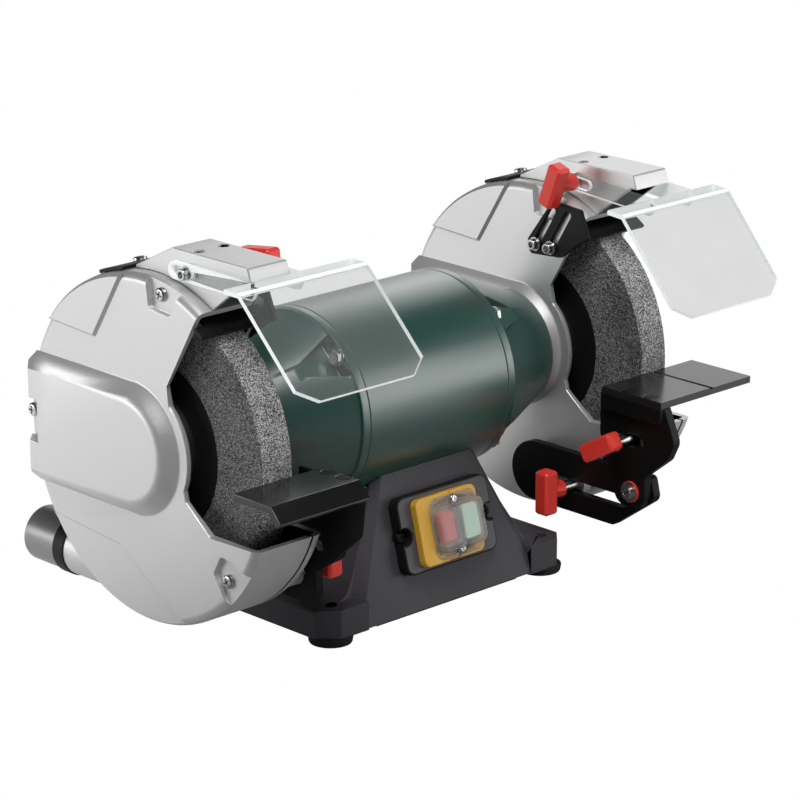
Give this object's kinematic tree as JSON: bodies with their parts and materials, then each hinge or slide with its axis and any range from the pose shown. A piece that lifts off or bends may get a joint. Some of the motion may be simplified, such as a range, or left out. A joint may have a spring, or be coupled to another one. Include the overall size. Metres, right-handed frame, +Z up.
{
  "type": "bench grinder",
  "caption": "Bench grinder: motor on a pedestal base turns abrasive wheels inside guards with adjustable tool rests, clear tilting eye shields and a push-button switch.",
  "frame": {"origin": "bench surface, under the middle of the spindle", "axes": "+X along the spindle to the operator's right, +Y away from the operator, +Z up"},
  "size_m": [0.434, 0.3088, 0.2787],
  "materials": {
    "base": "satin black",
    "rubber": "matt",
    "motor": "gloss dark green",
    "laminations": "dull steel",
    "copper": "enamelled wire",
    "steel": "bright steel",
    "black_steel": "satin black",
    "guard": "silver paint",
    "abrasive": "grainy",
    "paper": "black paper",
    "clear": "clear sheet",
    "red": "red moulding",
    "green": "green moulding",
    "yellow": "yellow moulding",
    "black_plastic": "matt"
  },
  "bodies": {
    "frame": {"base_casting": "base", "base_cover": "base", "rubber_feet": "rubber", "motor_housing": "motor", "left_end_bell": "motor", "right_end_bell": "motor", "stator_core": "laminations", "stator_winding": "copper", "bearing_outer_rings": "steel", "left_guard_cup": "guard", "left_guard_lid": "guard", "right_guard_cup": "guard", "right_guard_lid": "guard", "left_cap": "guard", "right_cap": "guard", "top_straps": "rubber", "dust_rings": "rubber", "dust_adapters": "guard", "switch_backplate": "black_plastic", "switch_frame": "yellow", "switch_hood": "clear", "contact_block": "black_plastic", "cable_gland": "black_plastic", "pan_head_screws": "steel", "socket_bolts": "steel", "hex_screws": "steel", "switch_screws": "steel"},
    "rotor": {"shaft": "steel", "rotor_core": "laminations", "bearing_inner_sets": "steel", "left_wheel": "abrasive", "right_wheel": "abrasive", "wheel_blotters": "paper", "wheel_flanges": "steel", "spindle_nuts": "steel"},
    "stop_button": {"stop_button": "red"},
    "start_button": {"start_button": "green"},
    "left_arm": {"left_rest_arm": "black_steel", "left_pivot_bolt": "steel"},
    "left_rest": {"left_tool_rest": "black_steel", "left_rest_bracket": "black_steel", "left_rest_screws": "black_steel"},
    "left_arm_knob": {"left_arm_knob": "red"},
    "left_slot_knob": {"left_slot_knob": "red"},
    "left_deflector": {"left_spark_deflector": "black_steel"},
    "left_guide": {"left_shield_guide": "black_plastic"},
    "left_shield": {"left_eye_shield": "clear"},
    "left_shield_knob": {"left_shield_knob": "red"},
    "right_arm": {"right_rest_arm": "black_steel", "right_pivot_bolt": "steel"},
    "right_rest": {"right_tool_rest": "black_steel", "right_rest_bracket": "black_steel", "right_rest_screws": "black_steel"},
    "right_arm_knob": {"right_arm_knob": "red"},
    "right_slot_knob": {"right_slot_knob": "red"},
    "right_deflector": {"right_spark_deflector": "black_steel"},
    "right_guide": {"right_shield_guide": "black_plastic"},
    "right_shield": {"right_eye_shield": "clear"},
    "right_shield_knob": {"right_shield_knob": "red"}
  },
  "joints": [
    {"name": "rotor_spin", "type": "hinge", "parent": "frame", "child": "rotor", "pos_m": [0, 0, 0.1405], "axis": [1, 0, 0], "continuous": true},
    {"name": "left_arm_slide", "type": "slide", "parent": "frame", "child": "left_arm", "axis": [0, -1, 0], "range_m": [-0.001, 0.02]},
    {"name": "left_rest_tilt", "type": "hinge", "parent": "left_arm", "child": "left_rest", "pos_m": [0, -0.097, 0.0845], "axis": [1, 0, 0], "range_deg": [0, 20]},
    {"name": "left_arm_knob_turn", "type": "hinge", "parent": "frame", "child": "left_arm_knob", "pos_m": [0, -0.072, 0.0595], "axis": [1, 0, 0], "range_deg": [-20, 180]},
    {"name": "left_slot_knob_turn", "type": "hinge", "parent": "left_arm", "child": "left_slot_knob", "pos_m": [0, -0.093, 0.1065], "axis": [1, 0, 0], "range_deg": [-20, 180]},
    {"name": "left_shield_knob_turn", "type": "hinge", "parent": "frame", "child": "left_shield_knob", "pos_m": [0, -0.04, 0.263], "axis": [1, 0, 0], "range_deg": [-20, 180]},
    {"name": "left_deflector_slide", "type": "slide", "parent": "frame", "child": "left_deflector", "axis": [0, 0.515, -0.8572], "range_m": [0, 0.0035]},
    {"name": "left_shield_tilt", "type": "hinge", "parent": "frame", "child": "left_guide", "pos_m": [0, -0.04, 0.263], "axis": [1, 0, 0], "range_deg": [-8, 20]},
    {"name": "left_shield_slide", "type": "slide", "parent": "left_guide", "child": "left_shield", "axis": [0, -1, 0], "range_m": [0, 0.012]},
    {"name": "right_arm_slide", "type": "slide", "parent": "frame", "child": "right_arm", "axis": [0, -1, 0], "range_m": [-0.001, 0.02]},
    {"name": "right_rest_tilt", "type": "hinge", "parent": "right_arm", "child": "right_rest", "pos_m": [0, -0.127, 0.0665], "axis": [1, 0, 0], "range_deg": [0, 20]},
    {"name": "right_arm_knob_turn", "type": "hinge", "parent": "frame", "child": "right_arm_knob", "pos_m": [0, -0.062, 0.0535], "axis": [1, 0, 0], "range_deg": [-20, 180]},
    {"name": "right_slot_knob_turn", "type": "hinge", "parent": "right_arm", "child": "right_slot_knob", "pos_m": [0, -0.119, 0.1015], "axis": [1, 0, 0], "range_deg": [-20, 180]},
    {"name": "right_shield_knob_turn", "type": "hinge", "parent": "frame", "child": "right_shield_knob", "pos_m": [0, -0.04, 0.263], "axis": [1, 0, 0], "range_deg": [-20, 180]},
    {"name": "right_deflector_slide", "type": "slide", "parent": "frame", "child": "right_deflector", "axis": [0, 0.515, -0.8572], "range_m": [0, 0.0035]},
    {"name": "right_shield_tilt", "type": "hinge", "parent": "frame", "child": "right_guide", "pos_m": [0, -0.04, 0.263], "axis": [1, 0, 0], "range_deg": [-12, 15]},
    {"name": "right_shield_slide", "type": "slide", "parent": "right_guide", "child": "right_shield", "axis": [0, -0.9969, -0.0785], "range_m": [-0.012, 0]},
    {"name": "stop_press", "type": "slide", "parent": "frame", "child": "stop_button", "axis": [0, 0.9676, -0.2524], "range_m": [0, 0.003], "stiffness_N_per_m": 500},
    {"name": "start_press", "type": "slide", "parent": "frame", "child": "start_button", "axis": [0, 0.9676, -0.2524], "range_m": [0, 0.003], "stiffness_N_per_m": 500}
  ]
}
